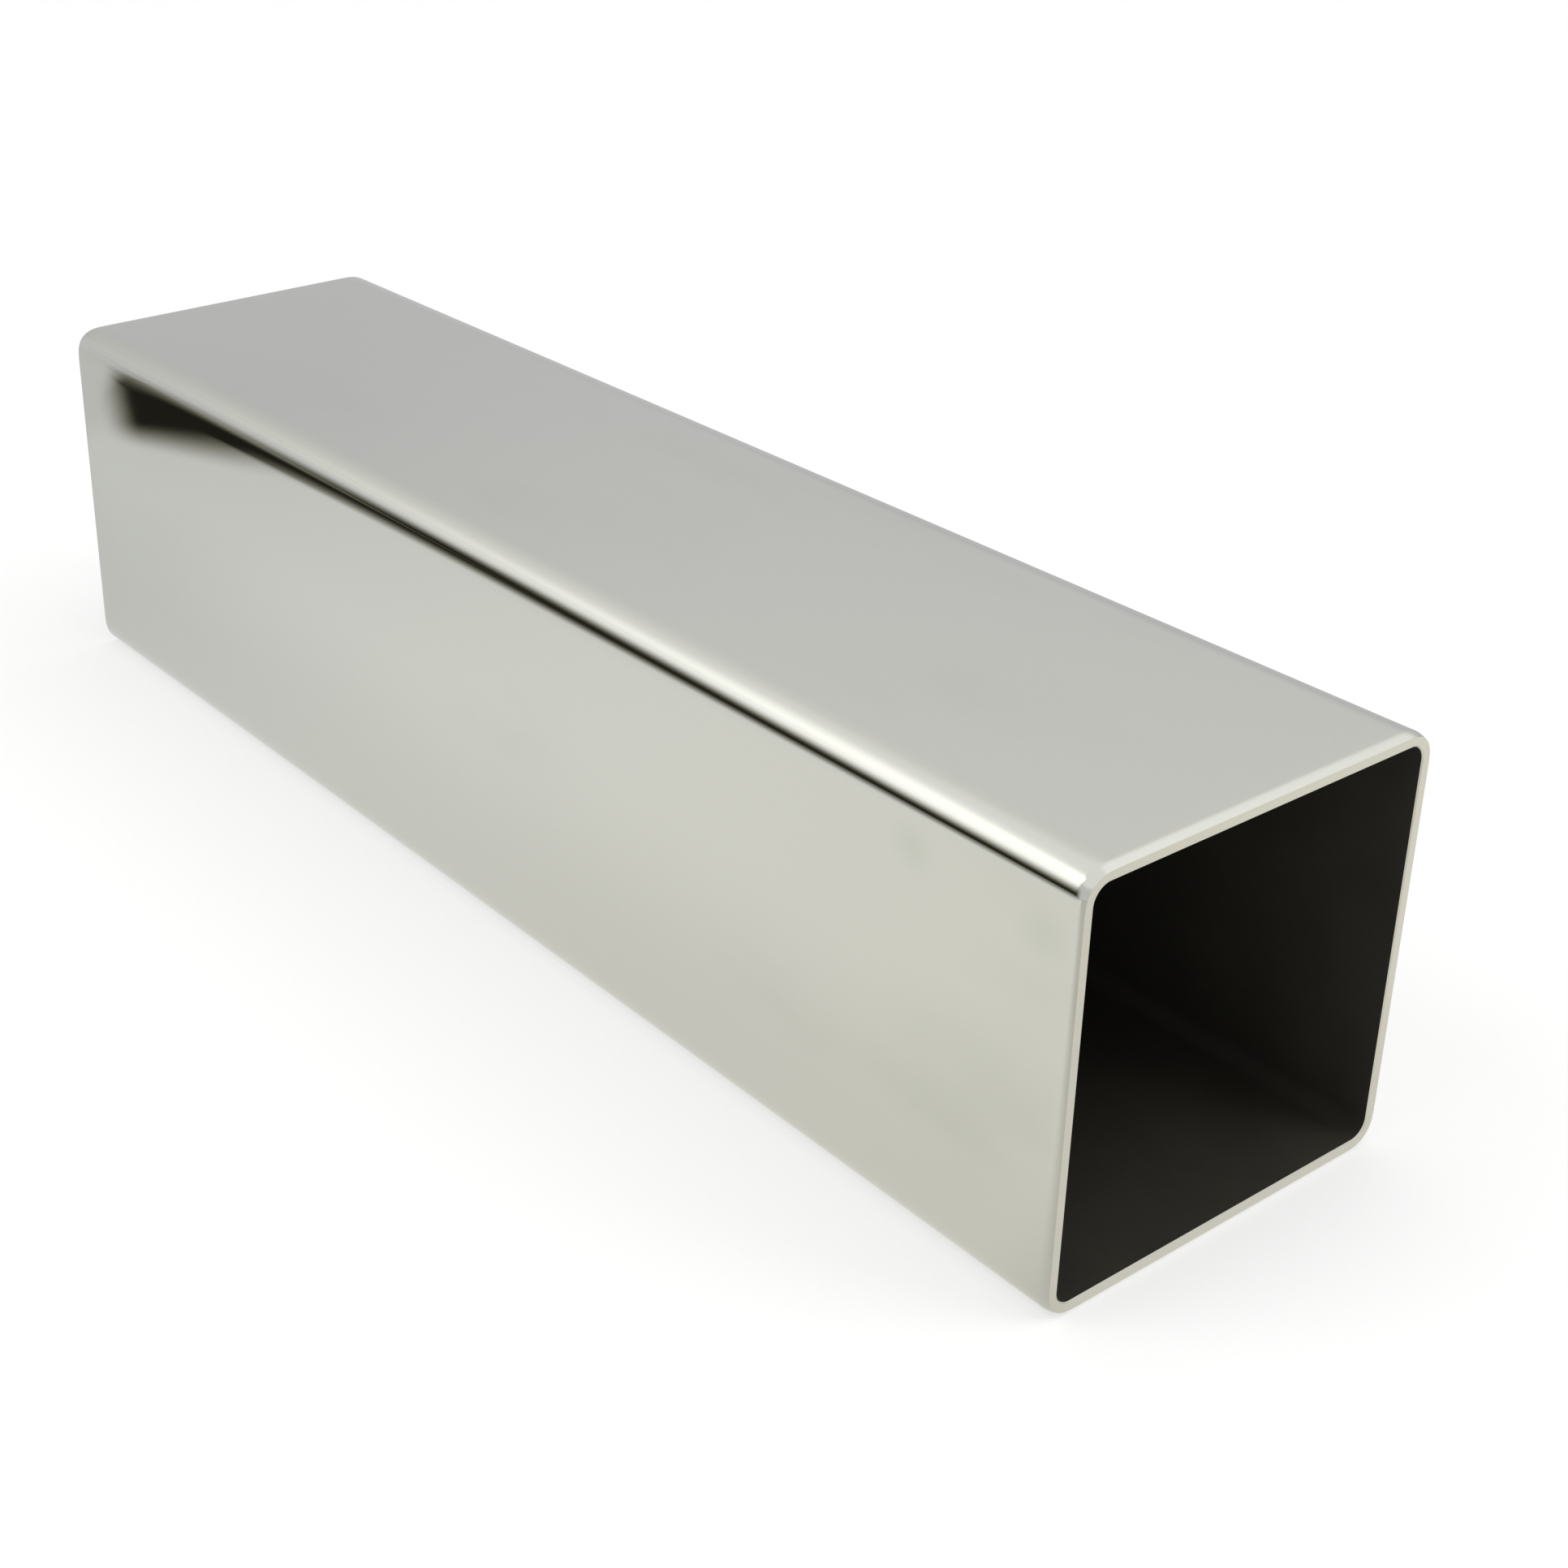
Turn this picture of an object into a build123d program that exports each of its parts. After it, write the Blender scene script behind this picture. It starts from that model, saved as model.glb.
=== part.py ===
from build123d import *
import os

# A cut length of polished stainless square tube, lying on one of its flat sides.
# It is one piece: strip folded to a square, seam-welded, polished outside and sawn to length.
# Millimetres, +Z up. The tube runs along Y. The origin is on the surface that it lies on,
# under the middle of the tube.

SIDE = 50.0              # outside, from flat to flat
WALL = 1.5               # thickness of the strip
CORNER_RADIUS = 3.5      # outside radius of the four folded corners
LENGTH = 200.0           # from sawn end to sawn end
ROLL_OFF_LENGTH = 1.3    # how far back from a sawn end the polishing wheel rounds the outer edge
ROLL_OFF_DEPTH = 0.35    # how much of the wall that rounding takes at the sawn face
MOUTH_CHAMFER = 0.15     # left where the burr is taken off the edge of the bore
CUTTER_MARGIN = 0.5      # how far the rounding's cutter stands clear of the metal that it leaves

# The strip bends round one centre, so an inside corner is tighter than its outside by one wall.
BORE = SIDE - 2 * WALL
BORE_CORNER_RADIUS = CORNER_RADIUS - WALL

# The tube's section stands across its axis. Half the tube is made, from the middle to one sawn end.
middle = Plane.XZ.shift_origin((0, 0, SIDE / 2))
sawn_end = middle.offset(LENGTH / 2)

with BuildPart() as square_tube:
    with BuildSketch(middle):
        RectangleRounded(SIDE, SIDE, CORNER_RADIUS)
        RectangleRounded(BORE, BORE, BORE_CORNER_RADIUS, mode=Mode.SUBTRACT)
    extrude(amount=LENGTH / 2)

    # The burr is taken off the mouth of the bore.
    sawn_face = square_tube.faces().sort_by(Axis.Y)[0]
    chamfer(sawn_face.inner_wires()[0].edges(), MOUTH_CHAMFER)

    # The outer edge is rounded by an arc that leaves the side smoothly and meets the sawn face
    # at its depth. Its cutter goes once round the rim, with x outwards and y along the tube.
    with BuildSketch(sawn_end, mode=Mode.PRIVATE) as rim:
        RectangleRounded(SIDE, SIDE, CORNER_RADIUS)
    rim_path = rim.sketch.wire()
    outwards = (rim_path % 0).cross(sawn_end.z_dir)
    with BuildSketch(Plane(rim_path @ 0, x_dir=outwards, z_dir=rim_path % 0)):
        with BuildLine():
            arc_end = (-ROLL_OFF_DEPTH, 0)
            arc = TangentArc((0, ROLL_OFF_LENGTH), arc_end, tangent=(0, -1))
            Polyline(
                arc_end,
                (-ROLL_OFF_DEPTH, -CUTTER_MARGIN),
                (CUTTER_MARGIN, -CUTTER_MARGIN),
                (CUTTER_MARGIN, ROLL_OFF_LENGTH),
                (0, ROLL_OFF_LENGTH),
            )
        make_face()
    sweep(path=rim_path, mode=Mode.SUBTRACT)

    mirror(about=middle)

square_tube.part.label = "square_tube"

os.makedirs("parts", exist_ok=True)
export_step(square_tube.part, "parts/square_tube.step")
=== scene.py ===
from math import asin, cos, pi, radians, sin

import bpy
from mathutils import Euler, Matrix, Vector


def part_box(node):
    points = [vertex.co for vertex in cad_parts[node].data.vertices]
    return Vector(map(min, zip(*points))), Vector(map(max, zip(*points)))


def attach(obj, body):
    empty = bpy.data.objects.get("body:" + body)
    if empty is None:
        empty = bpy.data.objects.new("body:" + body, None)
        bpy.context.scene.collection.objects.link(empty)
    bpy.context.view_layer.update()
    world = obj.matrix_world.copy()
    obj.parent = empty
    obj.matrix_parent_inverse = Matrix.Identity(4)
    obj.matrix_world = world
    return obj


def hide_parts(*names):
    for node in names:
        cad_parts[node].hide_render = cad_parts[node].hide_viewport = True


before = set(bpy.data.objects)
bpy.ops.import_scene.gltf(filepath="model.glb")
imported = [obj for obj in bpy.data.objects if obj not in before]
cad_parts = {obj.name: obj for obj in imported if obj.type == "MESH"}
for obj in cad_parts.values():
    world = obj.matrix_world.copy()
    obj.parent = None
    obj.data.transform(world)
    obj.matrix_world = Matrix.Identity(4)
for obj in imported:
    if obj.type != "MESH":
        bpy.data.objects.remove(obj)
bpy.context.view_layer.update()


# ---- The tube ----------------------------------------------------------------------------------
# Stainless steel strip, folded to a square round one centre at each corner and seam-welded, then
# sawn to length and polished outside on a wheel. The wheel also rounds the outer edge of a sawn
# end, and the burr is taken off the mouth of the bore. It is one piece.

tube_low, tube_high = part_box("square_tube")
SIDE = tube_high.x - tube_low.x     # from flat to flat
LENGTH = tube_high.y - tube_low.y   # from sawn end to sawn end
WALL = 0.0015
CORNER_RADIUS = 0.0035              # of the outside, measured as a plain arc
BEND_LENGTH = 2.5 * CORNER_RADIUS   # of a gentle bend that touches that arc in its middle
ROLL_OFF_LENGTH = 0.0013            # how far back from a sawn end its outer edge is rounded
ROLL_OFF_DEPTH = 0.00035            # how much of the wall that rounding takes at the sawn face
MOUTH_CHAMFER = 0.00015

# The wall's outline, cut along the tube, in strokes from the middle of the outside to the middle
# of the bore. A point is its depth under the outside, its place along the tube, and the number of
# its stroke plus the share of that stroke that is behind it.
OUTSIDE, ROLL_OFF, SAWN_FACE, CHAMFER, BORE = range(5)
STROKE_STEPS = (36, 9, 3, 1, 30)    # into which each of them is divided
half_length = LENGTH / 2
roll_radius = (ROLL_OFF_LENGTH**2 + ROLL_OFF_DEPTH**2) / (2 * ROLL_OFF_DEPTH)
roll_turn = asin(ROLL_OFF_LENGTH / roll_radius)
roll_start = half_length - ROLL_OFF_LENGTH
sawn_width = WALL - MOUTH_CHAMFER - ROLL_OFF_DEPTH
bore_half = half_length - MOUTH_CHAMFER


def draw_stroke(stroke, depth, place):
    """Points evenly along a stroke, without its end, which is the next one's start."""
    steps = STROKE_STEPS[stroke]
    shares = [step / steps for step in range(steps)]
    return [(depth(share), place(share), stroke + share) for share in shares]


front_half = [
    *draw_stroke(OUTSIDE, lambda share: 0, lambda share: roll_start * share),
    *draw_stroke(
        ROLL_OFF,
        lambda share: roll_radius * (1 - cos(roll_turn * share)),
        lambda share: roll_start + roll_radius * sin(roll_turn * share),
    ),
    *draw_stroke(
        SAWN_FACE,
        lambda share: ROLL_OFF_DEPTH + sawn_width * share,
        lambda share: half_length,
    ),
    *draw_stroke(
        CHAMFER,
        lambda share: WALL - MOUTH_CHAMFER * (1 - share),
        lambda share: half_length - MOUTH_CHAMFER * share,
    ),
    *draw_stroke(BORE, lambda share: WALL, lambda share: bore_half * (1 - share)),
    (WALL, 0, BORE + 1),
]
back_half = [(depth, -place, stroke) for depth, place, stroke in front_half[-2:0:-1]]
wall_points = front_half + back_half

outline = bpy.data.meshes.new("wall_outline")
outline.from_pydata(
    [(-depth, place, 0) for depth, place, stroke in wall_points],
    [(point, (point + 1) % len(wall_points)) for point in range(len(wall_points))],
    [],
)
outline.attributes.new("stroke", "FLOAT", "POINT")
outline.attributes["stroke"].data.foreach_set("value", [stroke for depth, place, stroke in wall_points])


class Wire:
    """A socket of a node tree. Arithmetic on it adds Math nodes, and node() adds any other kind."""

    def __init__(self, tree, socket=None):
        self.tree = tree
        self.socket = socket

    def node(self, kind, settings=None, sockets=None, output=0):
        """Adds a node, with its settings set first, then its sockets, by name or number."""
        made = self.tree.nodes.new(kind)
        for name, value in (settings or {}).items():
            setattr(made, name, value)
        for name, value in (sockets or {}).items():
            if isinstance(value, Wire):
                self.tree.links.new(value.socket, made.inputs[name])
            else:
                made.inputs[name].default_value = value
        return Wire(self.tree, made.outputs[output] if made.outputs else None)

    def other(self, output):
        """Another output of the same node."""
        return Wire(self.tree, self.socket.node.outputs[output])

    def maths(self, operation, *values):
        """A Math node on this socket and the values after it."""
        return self.node("ShaderNodeMath", {"operation": operation}, dict(enumerate((self, *values))))

    def __add__(self, value):
        return self.maths("ADD", value)

    def __sub__(self, value):
        return self.maths("SUBTRACT", value)

    def __rsub__(self, value):
        return self.node("ShaderNodeMath", {"operation": "SUBTRACT"}, {0: value, 1: self})

    def __mul__(self, value):
        return self.maths("MULTIPLY", value)

    def __truediv__(self, value):
        return self.maths("DIVIDE", value)

    def __rtruediv__(self, value):
        return self.node("ShaderNodeMath", {"operation": "DIVIDE"}, {0: value, 1: self})

    def __gt__(self, value):
        return self.maths("GREATER_THAN", value)

    __radd__ = __add__
    __rmul__ = __mul__

    def ease(self, start, end, low=0.0, high=1.0, kind="SMOOTHSTEP"):
        """Goes from low to high as this goes from start to end, easing in and out as kind says."""
        sockets = {"Value": self, "From Min": start, "From Max": end, "To Min": low, "To Max": high}
        return self.node("ShaderNodeMapRange", {"interpolation_type": kind}, sockets)

    def colour(self, low, high):
        """The colour low where this is 0, and the colour high where it is 1."""
        low, high = [end if isinstance(end, Wire) else (*end, 1) for end in (low, high)]
        return self.node("ShaderNodeMix", {"data_type": "RGBA"}, {0: self, 6: low, 7: high}, 2)


def empty_tree(owner):
    """The node tree of a material or a world, without its first nodes."""
    owner.use_nodes = True
    owner.node_tree.nodes.clear()
    return Wire(owner.node_tree)


def ray_kinds(tree):
    """Whether a ray comes straight from the camera, and whether it comes from a shiny surface."""
    ray = tree.node("ShaderNodeLightPath", output="Is Camera Ray")
    return ray, ray.other("Is Glossy Ray").maths("MAXIMUM", ray.other("Is Transmission Ray"))


# The polish: a mirror, with the wheel's faint lines along the tube, a little haze, and the marks
# that two fingers left near one end. A finger mark is its place along and up, and its radius.
FINGER_MARKS = ((-0.0784, 0.0436, 0.0042), (-0.0958, 0.0424, 0.0058))
FINGER_MARK_CORE = 0.0003       # the radius inside which a mark is at its full strength
FINGER_MARK_RAGGEDNESS = 0.0012
FINE_RELIEF = 0.00001           # the height of the sheet's waves and of polishing and saw lines
CLEAN_STEEL = (0.585, 0.580, 0.530)
HAZY_STEEL = (0.545, 0.545, 0.490)
polish = bpy.data.materials.new("polished_steel")
tree = empty_tree(polish)
place = tree.node("ShaderNodeTexCoord", output="Object")
stretched = tree.node("ShaderNodeMapping", sockets={"Vector": place, "Scale": (1, 0.02, 1)})
lines = tree.node("ShaderNodeTexNoise", sockets={"Vector": stretched, "Scale": 4000.0, "Detail": 3.0})
drifting = tree.node("ShaderNodeMapping", sockets={"Vector": place, "Scale": (1, 0.4, 1)})
haze = tree.node("ShaderNodeTexNoise", sockets={"Vector": drifting, "Scale": 45.0, "Detail": 3.0})
smudge = haze.ease(0.5, 0.8)
for along, up, radius in FINGER_MARKS:
    apart = tree.node(
        "ShaderNodeVectorMath",
        {"operation": "DISTANCE"},
        {0: place, 1: (-SIDE / 2, along, up)},
        "Value",
    )
    ragged = apart + FINGER_MARK_RAGGEDNESS * haze
    smudge = smudge.maths("MAXIMUM", ragged.ease(radius, FINGER_MARK_CORE))
steel = smudge.colour(CLEAN_STEEL, HAZY_STEEL)
dents = tree.node("ShaderNodeTexNoise", sockets={"Vector": place, "Scale": 22.0, "Detail": 1.0})
sheet_wave = tree.node(
    "ShaderNodeBump",
    sockets={"Strength": 1.0, "Distance": FINE_RELIEF, "Height": dents},
)
brushing = tree.node(
    "ShaderNodeBump",
    sockets={"Strength": 0.05, "Distance": FINE_RELIEF, "Height": lines, "Normal": sheet_wave},
)
shine = tree.node(
    "ShaderNodeBsdfPrincipled",
    sockets={
        "Base Color": steel,
        "Metallic": 1.0,
        "Roughness": 0.025 + 0.01 * lines + 0.04 * smudge,
        "Normal": brushing,
    },
)
tree.node("ShaderNodeOutputMaterial", sockets={"Surface": shine})

# The sawn face: bright bare metal with the blade's fine marks across it, at a slant.
BLADE_SLANT = radians(20)
BARE_STEEL = (0.62, 0.60, 0.53, 1)
sawn = bpy.data.materials.new("sawn_steel")
tree = empty_tree(sawn)
place = tree.node("ShaderNodeTexCoord", output="Object")
across = tree.node(
    "ShaderNodeMapping",
    sockets={"Vector": place, "Rotation": Euler((0, BLADE_SLANT, 0)), "Scale": (0.03, 1, 1)},
)
marks = tree.node("ShaderNodeTexNoise", sockets={"Vector": across, "Scale": 5000.0, "Detail": 2.0})
cut = tree.node("ShaderNodeBump", sockets={"Strength": 0.3, "Distance": FINE_RELIEF, "Height": marks})
shine = tree.node(
    "ShaderNodeBsdfPrincipled",
    sockets={
        "Base Color": BARE_STEEL,
        "Metallic": 1.0,
        "Roughness": 0.3 + 0.15 * marks,
        "Normal": cut,
    },
)
tree.node("ShaderNodeOutputMaterial", sockets={"Surface": shine})

# The bore: the mill's dull skin, mottled, with draw lines along it. Its colour is the skin's own
# brownish tone made near black, which is painted shade of the deep inside of the tube.
DRAW_LINE_DEPTH = 0.00003
# Both colours are near black: painted shade of the deep bore over the skin's own dull tone.
DARK_SKIN_AND_PAINTED_SHADE = (0.033, 0.031, 0.025)
PALER_SKIN_AND_PAINTED_SHADE = (0.037, 0.035, 0.028)
mill = bpy.data.materials.new("mill_finish")
tree = empty_tree(mill)
place = tree.node("ShaderNodeTexCoord", output="Object")
stretched = tree.node("ShaderNodeMapping", sockets={"Vector": place, "Scale": (1, 0.03, 1)})
drawn = tree.node("ShaderNodeTexNoise", sockets={"Vector": stretched, "Scale": 900.0, "Detail": 4.0})
mottle = tree.node("ShaderNodeTexNoise", sockets={"Vector": place, "Scale": 90.0, "Detail": 4.0})
# The mottle mixes two near-black colours, and both hold painted shade.
skin_and_painted_shade = mottle.ease(0.35, 0.65).colour(DARK_SKIN_AND_PAINTED_SHADE, PALER_SKIN_AND_PAINTED_SHADE)
furrows = tree.node(
    "ShaderNodeBump",
    sockets={"Strength": 0.3, "Distance": DRAW_LINE_DEPTH, "Height": drawn},
)
shine = tree.node(
    "ShaderNodeBsdfPrincipled",
    sockets={
        "Base Color": skin_and_painted_shade,
        "Metallic": 0.0,
        "Specular IOR Level": 0.15,
        "Roughness": 0.5 + 0.15 * mottle,
        "Normal": furrows,
    },
)
tree.node("ShaderNodeOutputMaterial", sockets={"Surface": shine})

# The sweep: the wall's outline goes once round a square path. A quarter of the path is one flat
# and the bend after it, walked step by step, and the flats fill what the bends leave of a side.
# Edges between faces that meet at more than the crisp edge's angle aren't shaded smooth.
sweep = bpy.data.node_groups.new("tube_sweep", "GeometryNodeTree")
sweep.interface.new_socket("Tube", in_out="OUTPUT", socket_type="NodeSocketGeometry")
sweep.interface.new_socket("Outline", in_out="INPUT", socket_type="NodeSocketGeometry")
sweep_inputs = {
    "Side": ("NodeSocketFloat", SIDE),
    "Bend Length": ("NodeSocketFloat", BEND_LENGTH),
    "Corner Radius": ("NodeSocketFloat", CORNER_RADIUS),
    "Flat Steps": ("NodeSocketInt", 10),
    "Bend Steps": ("NodeSocketInt", 32),
    "Crisp Edge": ("NodeSocketFloat", radians(20)),
    "Polish": ("NodeSocketMaterial", polish),
    "Sawn": ("NodeSocketMaterial", sawn),
    "Mill Finish": ("NodeSocketMaterial", mill),
}
socket_names = {
    name: sweep.interface.new_socket(name, in_out="INPUT", socket_type=kind).identifier
    for name, (kind, value) in sweep_inputs.items()
}
given = Wire(sweep).node("NodeGroupInput", output="Outline")
side = given.other("Side")
radius = given.other("Corner Radius")
flat_steps = given.other("Flat Steps")
bend_steps = given.other("Bend Steps")
quarter_steps = flat_steps + bend_steps
index = given.node("GeometryNodeInputIndex")
quarter = (index / quarter_steps).maths("FLOOR")
step = index - quarter * quarter_steps


def turn_after(bent):
    """How far the path has turned once this share of a bend is behind it."""
    return bent.ease(0.0, 1.0, 0.0, pi / 2, "SMOOTHERSTEP")


def in_its_quarter(vector):
    """Turns what was worked out for the path's first quarter into the quarter of this point."""
    return given.node(
        "ShaderNodeVectorRotate",
        {"rotation_type": "Z_AXIS"},
        {"Vector": vector, "Angle": quarter * (pi / 2)},
    )


bent = (step + 0.5 - flat_steps) / bend_steps
stride = (bent > 0) * given.other("Bend Length") / bend_steps
heading = turn_after(bent)
pace = given.node(
    "ShaderNodeCombineXYZ",
    sockets={"X": 0 - stride * heading.maths("SINE"), "Y": stride * heading.maths("COSINE")},
)
walked = given.node(
    "GeometryNodeAccumulateField",
    {"data_type": "FLOAT_VECTOR"},
    {"Value": pace, "Group ID": quarter},
    "Trailing",
)
way = given.node("ShaderNodeSeparateXYZ", sockets={"Vector": walked})
whole_bend = given.node("ShaderNodeSeparateXYZ", sockets={"Vector": walked.other("Total")})
flat = side - whole_bend.other("Y") * 2
along_flat = (step / flat_steps).maths("MINIMUM", 1.0) - 0.5
corner = given.node(
    "ShaderNodeCombineXYZ",
    sockets={"X": side / 2 + way, "Y": flat * along_flat + way.other("Y")},
)

# In the bore a bend is a plain arc. It touches the gentle bend in the middle of the corner and lies
# a little outside it before and after. The reach is the way from the gentle bend to the place on the
# arc that faces the same way. It is stored on the path as an attribute, and the wall takes it up
# little by little over the sawn face.
facing = turn_after((step - flat_steps) / bend_steps)
arc_point = given.node(
    "ShaderNodeCombineXYZ",
    sockets={
        "X": side / 2 - radius * (1 - facing.maths("COSINE")),
        "Y": side / 2 - radius * (1 - facing.maths("SINE")),
    },
)
gap = given.node("ShaderNodeVectorMath", {"operation": "SUBTRACT"}, {0: arc_point, 1: corner})
bend_gap = given.node(
    "ShaderNodeVectorMath",
    {"operation": "SCALE"},
    {"Vector": gap, "Scale": step > flat_steps},
)
ring = given.node("GeometryNodeCurvePrimitiveCircle", sockets={"Resolution": quarter_steps * 4})
marked = given.node(
    "GeometryNodeStoreNamedAttribute",
    {"data_type": "FLOAT_VECTOR", "domain": "POINT"},
    {"Geometry": ring, "Name": "reach", "Value": in_its_quarter(bend_gap)},
)
path = given.node(
    "GeometryNodeSetPosition",
    sockets={"Geometry": marked, "Position": in_its_quarter(corner)},
)
upright = given.node("GeometryNodeSetCurveNormal", {"mode": "Z_UP"}, {"Curve": path})
wall = given.node("GeometryNodeMeshToCurve", sockets={"Mesh": given})
swept = given.node("GeometryNodeCurveToMesh", sockets={"Curve": upright, "Profile Curve": wall})
stroke = given.node("GeometryNodeInputNamedAttribute", {"data_type": "FLOAT"}, {"Name": "stroke"})
reach = given.node("GeometryNodeInputNamedAttribute", {"data_type": "FLOAT_VECTOR"}, {"Name": "reach"})
taken_up = given.node(
    "ShaderNodeVectorMath",
    {"operation": "SCALE"},
    {"Vector": reach, "Scale": stroke.ease(SAWN_FACE, CHAMFER)},
)
reached = given.node("GeometryNodeSetPosition", sockets={"Geometry": swept, "Offset": taken_up})
lying = given.node(
    "GeometryNodeTransform",
    sockets={"Geometry": reached, "Rotation": Euler((pi / 2, 0, 0)), "Translation": (0, 0, SIDE / 2)},
)
smooth = given.node("GeometryNodeSetShadeSmooth", {"domain": "FACE"}, {"Geometry": lying})
edge_angle = given.node("GeometryNodeInputMeshEdgeAngle", output="Unsigned Angle")
crisp = given.node(
    "GeometryNodeSetShadeSmooth",
    {"domain": "EDGE"},
    {"Geometry": smooth, "Selection": edge_angle > given.other("Crisp Edge"), "Shade Smooth": False},
)
tube_geometry = given.node("GeometryNodeRealizeInstances", sockets={"Geometry": crisp})
for finish, first_stroke in (("Polish", OUTSIDE - 1), ("Sawn", SAWN_FACE), ("Mill Finish", BORE)):
    tube_geometry = given.node(
        "GeometryNodeSetMaterial",
        sockets={
            "Geometry": tube_geometry,
            "Selection": stroke > first_stroke,
            "Material": given.other(finish),
        },
    )
given.node("NodeGroupOutput", sockets={"Tube": tube_geometry})

outline_object = bpy.data.objects.new("wall_outline", outline)
bpy.context.scene.collection.objects.link(outline_object)
modifier = outline_object.modifiers.new("sweep", "NODES")
modifier.node_group = sweep
for name, (kind, value) in sweep_inputs.items():
    modifier[socket_names[name]] = value
depsgraph = bpy.context.evaluated_depsgraph_get()
tube_mesh = bpy.data.meshes.new_from_object(outline_object.evaluated_get(depsgraph))
for name in ("stroke", "reach"):
    tube_mesh.attributes.remove(tube_mesh.attributes[name])
bpy.data.objects.remove(outline_object)
tube = bpy.data.objects.new("polished_square_tube", tube_mesh)
bpy.context.scene.collection.objects.link(tube)
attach(tube, "root")
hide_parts("square_tube")


# ---- The studio --------------------------------------------------------------------------------
# The tube lies on a wide white table. Shiny metal shows what stands round it: the table, with one
# patch of it in the dark, pale walls, the dark end of the room and a large soft lamp on the left.

FLOOR_REACH = 6.0
floor_mesh = bpy.data.meshes.new("floor")
floor_mesh.from_pydata(
    [(x * FLOOR_REACH, y * FLOOR_REACH, 0) for x, y in ((-1, -1), (1, -1), (1, 1), (-1, 1))],
    [],
    [(0, 1, 2, 3)],
)
floor = bpy.data.objects.new("floor", floor_mesh)
bpy.context.scene.collection.objects.link(floor)

# The mirrored table. Its dark patch starts in a point on the left, well behind the tube's far end,
# and widens to the left and back, and its edges get softer on the way out. A veil of light lies over
# it along its far edge. Tip and spot are in metres, and what comes of them is in sides of the tube.
PATCH_TIP = (-0.0701, 0.1836)
PATCH_DARKNESS = 0.979
PATCH_TINT = (1.0, 0.97, 0.72)
table = bpy.data.materials.new("white_table")
tree = empty_tree(table)
place = tree.node("ShaderNodeTexCoord", output="Object")
spot = tree.node("ShaderNodeSeparateXYZ", sockets={"Vector": place})
left = (PATCH_TIP[0] - spot) / SIDE
back = (spot.other("Y") - PATCH_TIP[1]) / SIDE
out = left.maths("MAXIMUM", 0.0)
far_limit = out * 1.648 - 0.122 + (0.228 / (out + 0.45))
inside = far_limit - back
steep_edge = ((left * 2.44 - back) / 0.194).ease(-1.0, 1.0)
far_edge = steep_edge * (inside / (out * 0.05 + 0.082)).ease(-1.0, 1.0)
near_edge = ((left * 2.0 + back) / (out * 0.54 + 0.27)).ease(-1.0, 1.0)
low_edge = ((back + 0.857 - left * 0.254) / (out * 0.867 + 0.235)).ease(-1.0, 1.0)
veil = out / (out + 2.36) * (inside / (out + 0.1)).ease(0.674, -0.1) * 0.554
patch = far_edge * near_edge * low_edge * (1 - veil)

# The rest of it is a little darker further back, past the patch's far edge, by the tube's front left
# corner and far to the right. Beside the tube it is darker as well: the tube's shadow on it, painted.
behind = (spot.other("Y") + LENGTH / 2) / SIDE
beside = spot.maths("ABSOLUTE") / SIDE
# Painted shadow: the table is darker close beside the tube, where the tube shades it.
glow_with_painted_shadow = 1.036 - beside.ease(1.25, 0.6) * 0.113
glow_with_painted_shadow = glow_with_painted_shadow - behind.ease(2.26, 6.0) * 0.187
glow_with_painted_shadow = glow_with_painted_shadow - (1 - far_edge) * behind.ease(5.6, 6.0) * 0.082
glow_with_painted_shadow = glow_with_painted_shadow - behind.ease(0.3, -0.3) * spot.ease(-0.018, -0.028) * 0.3
glow_with_painted_shadow = glow_with_painted_shadow - spot.ease(0.12, 0.9) * 0.25
table_tint = behind.ease(-0.5, 4.8).colour((0.998, 1.0, 0.957), (0.98, 1.0, 1.01))
mirrored = tree.node(
    "ShaderNodeEmission",
    sockets={
        "Color": (patch * patch).colour(table_tint, PATCH_TINT),
        "Strength": glow_with_painted_shadow * (1 - patch * PATCH_DARKNESS),
    },
)

# The table as it is seen: white, with the tube's soft shadow, which fades out further away.
NEAR_WHITENESS = 0.55           # the share of plain white in it near the tube
SHADOW_REACH = 0.2              # how far from the middle of the tube that share starts to grow
FADE_REACH = 1.0                # and where it is plain white all over
by_camera, by_shine = ray_kinds(tree)
away = tree.node("ShaderNodeVectorMath", {"operation": "LENGTH"}, {0: place}, "Value")
lit = tree.node("ShaderNodeBsdfDiffuse", sockets={"Color": (0.92, 0.92, 0.91, 1)})
white = tree.node("ShaderNodeEmission", sockets={"Color": (1, 1, 1, 1), "Strength": 1.0})
whiteness = away.ease(SHADOW_REACH, FADE_REACH, NEAR_WHITENESS, 1.0)
seen = tree.node("ShaderNodeMixShader", sockets={0: by_camera * whiteness, 1: lit, 2: white})
surface = tree.node("ShaderNodeMixShader", sockets={0: by_shine, 1: seen, 2: mirrored})
tree.node("ShaderNodeOutputMaterial", sockets={"Surface": surface})
table.cycles.emission_sampling = "NONE"
floor_mesh.materials.append(table)

# The mirrored room. Heights are degrees above the table, and bearings are degrees to the right of
# straight back along the tube.
ROOM_END_DARKNESS = 0.968
ROOM_END_TINT = (1.0, 0.97, 0.70)
LEFT_LAMP_GLOW = 1.086
RIGHT_LAMP_GLOW = 0.19
studio = bpy.data.worlds.new("studio")
studio.cycles.sampling_method = "NONE"
bpy.context.scene.world = studio
tree = empty_tree(studio)
towards = tree.node("ShaderNodeTexCoord", output="Generated")
direction = tree.node("ShaderNodeSeparateXYZ", sockets={"Vector": towards})
height = direction.other("Z").maths("ARCSINE") * (180 / pi)
bearing = direction.maths("ARCTAN2", direction.other("Y")) * (180 / pi)

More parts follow.
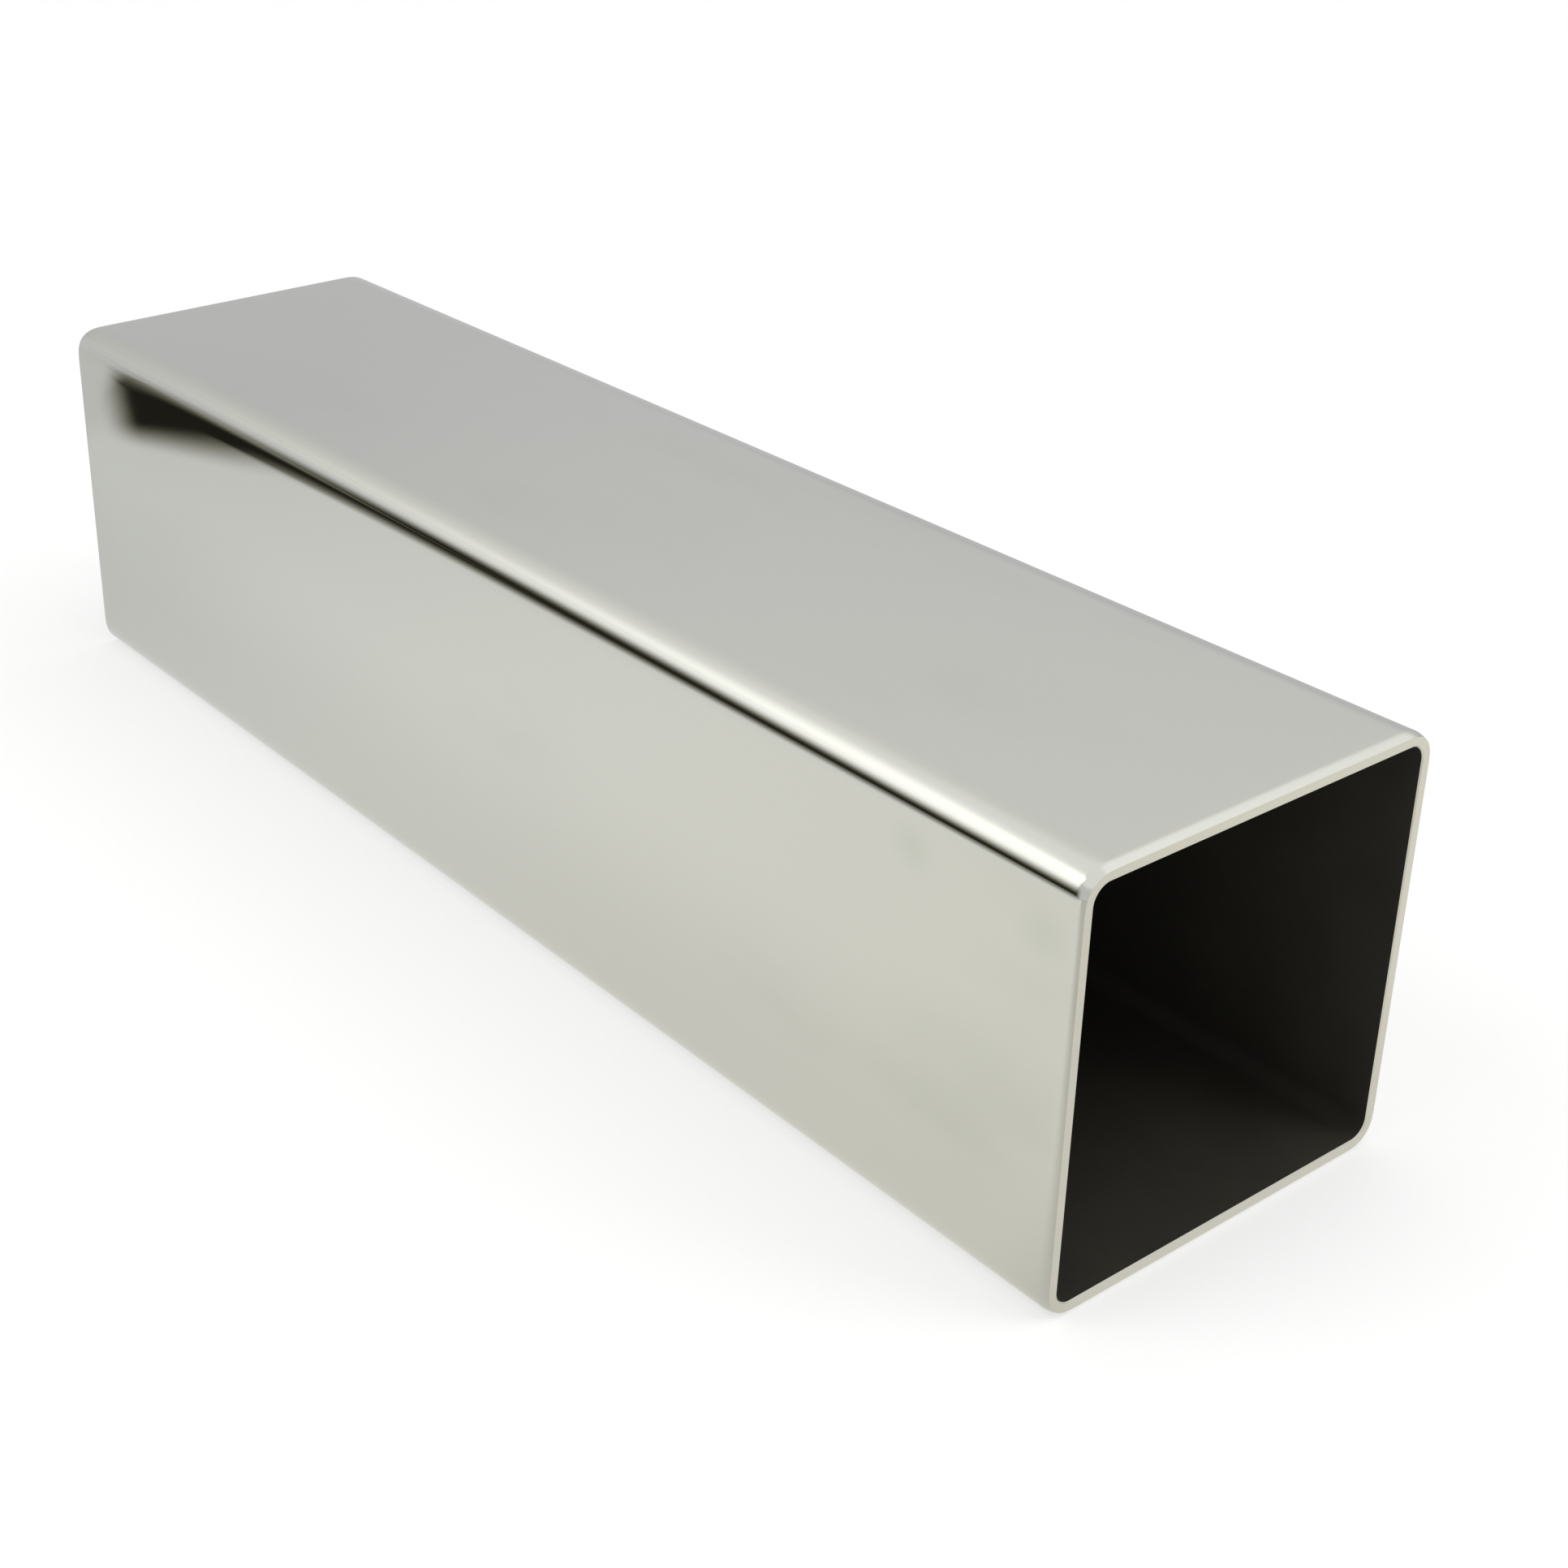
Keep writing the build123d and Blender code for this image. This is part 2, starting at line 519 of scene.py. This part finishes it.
# The walls get paler upwards. The first of the two steps is higher up on the left than on the
# right, and under it the left is paler.
first_step = height - bearing.ease(40.7, 5.7) * 10.5
walls = 0.703 + first_step.ease(13.2, 30.4) * 0.21 + height.ease(26.5, 50.5) * 0.23
walls = walls + bearing.ease(-5.9, -24.9) * height.ease(31.1, 29.3) * 0.117
wall_tint = height.ease(15.0, 31.0).colour((0.983, 1.0, 1.042), (0.988, 1.0, 1.003))

# The room's dark end is low on the left. Its right side leans, and it is sharp near the table.
room_side = (bearing + height * 0.156).ease(-26.5, -38.2) * bearing.ease(-86.6, -59.0)
room_side = room_side * (1 - height.ease(8.6, -0.1) * bearing.ease(-30.5, -30.3))
room_end = height.ease(28.5, 2.0) * room_side

# The left lamp hangs over that end, with a slanting lower edge, and a faint one hangs on the right.
lamp_slope = (height - bearing * 0.452).ease(28.1, 55.2)
lamp_ends = bearing.ease(28.0, -71.1) * bearing.ease(-61.4, -51.5)
left_lamp = lamp_slope * height.ease(58.7, 48.3) * lamp_ends
right_lamp = bearing.ease(50.0, 68.0) * bearing.ease(150.0, 110.0)
right_lamp = right_lamp * height.ease(25.0, 38.0) * height.ease(75.0, 60.0)
brightness = walls * (1 - room_end * ROOM_END_DARKNESS)
brightness = brightness + left_lamp * LEFT_LAMP_GLOW + right_lamp * RIGHT_LAMP_GLOW
reflected = tree.node(
    "ShaderNodeBackground",
    sockets={
        "Color": (room_end * room_end).colour(wall_tint, ROOM_END_TINT),
        "Strength": brightness,
    },
)

# Dull surfaces are lit by a plain pale room, and the camera sees a white backdrop.
plain = tree.node("ShaderNodeBackground", sockets={"Color": (1, 1, 1, 1), "Strength": 0.6})
backdrop = tree.node("ShaderNodeBackground", sockets={"Color": (1, 1, 1, 1), "Strength": 1.0})
by_camera, by_shine = ray_kinds(tree)
unseen = tree.node("ShaderNodeMixShader", sockets={0: by_shine, 1: plain, 2: reflected})
surroundings = tree.node("ShaderNodeMixShader", sockets={0: by_camera, 1: unseen, 2: backdrop})
tree.node("ShaderNodeOutputWorld", sockets={"Surface": surroundings})


def hang_lamp(name, place, size, power):
    """A soft square lamp that points at the middle of the tube and that no mirror shows."""
    light = bpy.data.lights.new(name, "AREA")
    light.size = size
    light.energy = power
    lamp = bpy.data.objects.new(name, light)
    lamp.location = place
    lamp.rotation_mode = "QUATERNION"
    lamp.rotation_quaternion = (Vector(place) - Vector((0, 0, SIDE / 2))).to_track_quat("Z", "Y")
    lamp.visible_camera = False
    lamp.visible_glossy = False
    bpy.context.scene.collection.objects.link(lamp)


hang_lamp("left_lamp", (-1.0, 0.3, 1.1), size=1.0, power=9.0)
hang_lamp("top_lamp", (0.4, -0.2, 1.6), size=1.4, power=9.0)
hang_lamp("front_lamp", (0.8, -1.0, 0.9), size=0.8, power=6.0)

LOOK_DOWN = radians(25.841)     # from level
LOOK_RIGHT = radians(37.269)    # from straight back along the tube
camera_data = bpy.data.cameras.new("camera")
camera_data.sensor_width = 36.0
camera_data.lens = 56.68
camera_data.shift_x = 0.0986
camera_data.shift_y = -0.0574
camera_data.clip_start = 0.01
camera_data.clip_end = 50.0
camera = bpy.data.objects.new("camera", camera_data)
camera.location = (-0.1708, -0.22543, 0.15917)
camera.rotation_euler = (pi / 2 - LOOK_DOWN, 0, -LOOK_RIGHT)
bpy.context.scene.collection.objects.link(camera)
bpy.context.scene.camera = camera

bpy.context.scene.view_settings.view_transform = "Standard"
